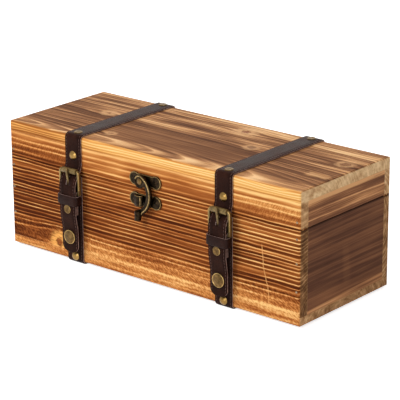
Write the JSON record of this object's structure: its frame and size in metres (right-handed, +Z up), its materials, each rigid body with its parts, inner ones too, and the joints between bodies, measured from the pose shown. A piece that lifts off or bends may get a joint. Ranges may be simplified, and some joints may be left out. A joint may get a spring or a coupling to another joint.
{
  "type": "wine box",
  "caption": "Long hinged wooden box for a single wine bottle, with buckled leather straps round it and a swing-hook latch on the front.",
  "frame": {"origin": "centre of the bounding box in X and Y, on the surface the box stands on", "axes": "+X along the box to the right seen from the front, the front with the buckles faces -Y, +Z up"},
  "size_m": [0.356, 0.1528, 0.1304],
  "materials": {
    "pine": "scorched and brushed, satin",
    "top_pine": "lightly scorched, satin",
    "end_pine": "dark scorched, satin",
    "strap_leather": "waxed, semi-gloss",
    "antique_brass": "antique, dark in the hollows",
    "brass_fittings": "aged, polished on the high spots",
    "brad_steel": "bright"
  },
  "bodies": {
    "base": {"base_bottom": "pine", "base_front": "pine", "base_back": "pine", "base_left_end": "end_pine", "base_right_end": "end_pine", "base_brads": "brad_steel", "base_strap_left": "strap_leather", "base_strap_right": "strap_leather", "base_domed_rivets": "brass_fittings", "base_flat_rivets": "brass_fittings", "snap_studs": "brass_fittings", "catch_plate": "antique_brass", "catch_screws": "antique_brass", "hinge_base_leaf_left": "brass_fittings", "hinge_base_leaf_right": "brass_fittings", "hinge_pins": "brass_fittings", "hinge_base_screws": "brass_fittings"},
    "lid": {"lid_top": "top_pine", "lid_front": "pine", "lid_back": "pine", "lid_left_end": "end_pine", "lid_right_end": "end_pine", "lid_brads": "brad_steel", "lid_strap_left": "strap_leather", "lid_strap_right": "strap_leather", "lid_domed_rivets": "brass_fittings", "lid_flat_rivets": "brass_fittings", "hinge_lid_leaf_left": "brass_fittings", "hinge_lid_leaf_right": "brass_fittings", "hinge_lid_screws": "brass_fittings", "latch_plate": "antique_brass", "latch_screws": "antique_brass", "latch_pivot": "antique_brass"},
    "hook": {"latch_hook": "antique_brass"},
    "strap_left": {"tongue_left": "strap_leather", "tab_left": "strap_leather", "keeper_left": "strap_leather", "fold_rivet_left": "brass_fittings", "snap_cap_left": "brass_fittings", "snap_socket_left": "brass_fittings"},
    "buckle_left": {"buckle_frame_left": "brass_fittings"},
    "roller_left": {"buckle_roller_left": "brass_fittings"},
    "prong_left": {"buckle_prong_left": "brass_fittings"},
    "strap_right": {"tongue_right": "strap_leather", "tab_right": "strap_leather", "keeper_right": "strap_leather", "fold_rivet_right": "brass_fittings", "snap_cap_right": "brass_fittings", "snap_socket_right": "brass_fittings"},
    "buckle_right": {"buckle_frame_right": "brass_fittings"},
    "roller_right": {"buckle_roller_right": "brass_fittings"},
    "prong_right": {"buckle_prong_right": "brass_fittings"}
  },
  "joints": [
    {"name": "lid_hinge", "type": "hinge", "parent": "base", "child": "lid", "pos_m": [0, 0.07382, 0.0926], "axis": [-1, 0, 0], "range_deg": [0, 105]},
    {"name": "hook_swing", "type": "hinge", "parent": "lid", "child": "hook", "pos_m": [-0.0047, -0.06678, 0.1015], "axis": [0, -1, 0], "range_deg": [0, 80]},
    {"name": "strap_left_lift", "type": "hinge", "parent": "lid", "child": "strap_left", "pos_m": [-0.092, -0.06458, 0.1001], "axis": [-1, 0, 0], "range_deg": [0, 75]},
    {"name": "buckle_left_tilt", "type": "hinge", "parent": "strap_left", "child": "buckle_left", "pos_m": [-0.092, -0.06988, 0.0732], "axis": [1, 0, 0], "range_deg": [0, 4]},
    {"name": "roller_left_spin", "type": "hinge", "parent": "buckle_left", "child": "roller_left", "pos_m": [-0.092, -0.07028, 0.0947], "axis": [1, 0, 0], "continuous": true},
    {"name": "prong_left_tilt", "type": "hinge", "parent": "buckle_left", "child": "prong_left", "pos_m": [-0.092, -0.06988, 0.0732], "axis": [1, 0, 0], "range_deg": [0, 4]},
    {"name": "strap_right_lift", "type": "hinge", "parent": "lid", "child": "strap_right", "pos_m": [0.092, -0.06458, 0.1001], "axis": [-1, 0, 0], "range_deg": [0, 75]},
    {"name": "buckle_right_tilt", "type": "hinge", "parent": "strap_right", "child": "buckle_right", "pos_m": [0.092, -0.06988, 0.0732], "axis": [1, 0, 0], "range_deg": [0, 4]},
    {"name": "roller_right_spin", "type": "hinge", "parent": "buckle_right", "child": "roller_right", "pos_m": [0.092, -0.07028, 0.0947], "axis": [1, 0, 0], "continuous": true},
    {"name": "prong_right_tilt", "type": "hinge", "parent": "buckle_right", "child": "prong_right", "pos_m": [0.092, -0.06988, 0.0732], "axis": [1, 0, 0], "range_deg": [0, 4]}
  ]
}
